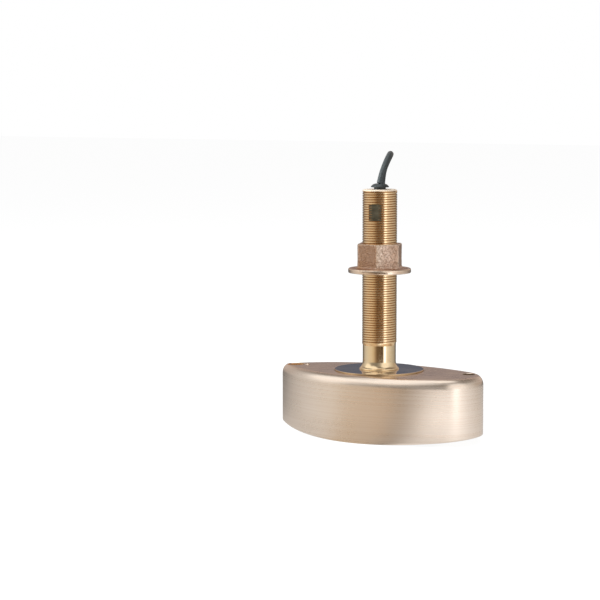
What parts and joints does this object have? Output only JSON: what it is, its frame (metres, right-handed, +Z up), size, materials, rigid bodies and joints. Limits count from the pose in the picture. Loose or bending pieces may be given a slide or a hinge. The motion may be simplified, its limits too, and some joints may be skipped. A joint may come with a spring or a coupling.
{
  "type": "sonar transducer",
  "caption": "Bronze through-hull sonar transducer: almond-shaped housing, tall threaded hollow stem with a flanged hull nut, and a cable leaving the stem's top.",
  "frame": {"origin": "on the stem's axis, at the height of the lowest line of the housing's bowed underside, which is the bottom centre of the transducer's box", "axes": "+Z up along the threaded stem, +X along the housing's long axis towards its round end, -X towards its pointed end, +Y across the housing, on the side where the stored cable lies"},
  "size_m": [0.2203, 0.2374, 0.2732],
  "materials": {
    "housing_bronze": "satin cast bronze, brushed along its length",
    "stem_bronze": "turned bronze, bright, threaded",
    "nut_bronze": "sand-cast bronze, matt",
    "grommet_rubber": "black moulded rubber",
    "cable_jacket": "black cable jacket with a soft sheen",
    "resin": "cast potting resin",
    "window_urethane": "smooth black urethane",
    "cork": "fine cork and rubber backing",
    "ceramic": "fired ceramic with a silvered face",
    "ferrite": "sintered ferrite",
    "copper": "enamelled copper wire",
    "board": "glass-fibre circuit board",
    "lead_insulation": "coloured wire insulation",
    "sensor_metal": "turned brass",
    "tie_nylon": "black nylon",
    "connector_rubber": "black moulded strain relief",
    "connector_plastic": "black glass-filled plastic",
    "contact_metal": "plated contacts in an insulating disc"
  },
  "bodies": {
    "transducer": {"housing": "housing_bronze", "stem": "stem_bronze", "cable_grommet": "grommet_rubber", "cable_in_stem": "cable_jacket", "stem_potting": "resin", "acoustic_window": "window_urethane", "potting": "resin", "element_tray": "cork", "array_foam": "cork", "disc_foam": "cork", "ceramic_50khz_1": "ceramic", "ceramic_50khz_2": "ceramic", "ceramic_50khz_3": "ceramic", "ceramic_50khz_4": "ceramic", "ceramic_50khz_5": "ceramic", "ceramic_50khz_6": "ceramic", "ceramic_50khz_7": "ceramic", "ceramic_200khz": "ceramic", "transformer_core": "ferrite", "transformer_winding": "copper", "terminal_board": "board", "lead_50khz": "lead_insulation", "lead_200khz": "lead_insulation", "thermistor": "sensor_metal", "cable_tube": "cable_jacket", "cable_hank": "cable_jacket", "cable_tail": "cable_jacket", "hank_tie_1": "tie_nylon", "hank_tie_2": "tie_nylon", "hank_tie_3": "tie_nylon", "connector_boot": "connector_rubber", "connector_body": "connector_plastic", "connector_ring": "connector_plastic", "connector_insert": "contact_metal"},
    "nut": {"hull_nut": "nut_bronze"}
  },
  "joints": [
    {"name": "hull_nut_travel", "type": "slide", "parent": "transducer", "child": "nut", "axis": [0, 0, 1], "range_m": [-0.0685, 0.0515]}
  ]
}
